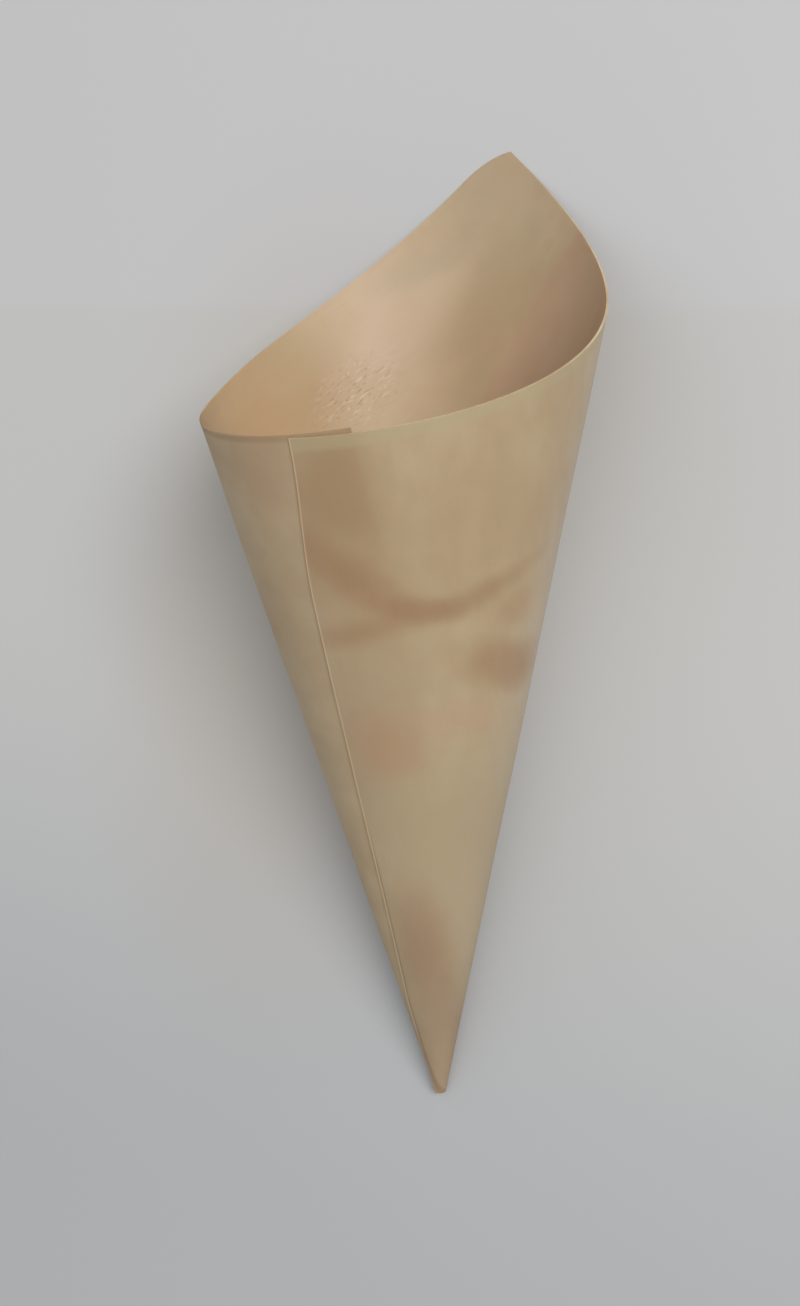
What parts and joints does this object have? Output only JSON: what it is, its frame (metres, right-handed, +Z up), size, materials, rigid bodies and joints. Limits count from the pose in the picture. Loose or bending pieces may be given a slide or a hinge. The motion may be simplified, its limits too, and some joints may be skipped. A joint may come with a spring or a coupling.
{
  "type": "fry cone",
  "caption": "Slender serving cone rolled from one thin rectangular sheet of wood veneer, with a lapped seam, a slanted mouth and a tall pointed back, for fries or snacks.",
  "frame": {"origin": "on the ground, below the middle of the cone as it lies", "axes": "+Y from the tip to the mouth, +Z up from the ground, +X to the right seen from the tip"},
  "size_m": [0.0722, 0.1812, 0.0643],
  "materials": {
    "veneer": "raw sliced veneer, satin, slightly translucent"
  },
  "bodies": {
    "root": {"veneer_cone": "veneer"}
  },
  "joints": []
}
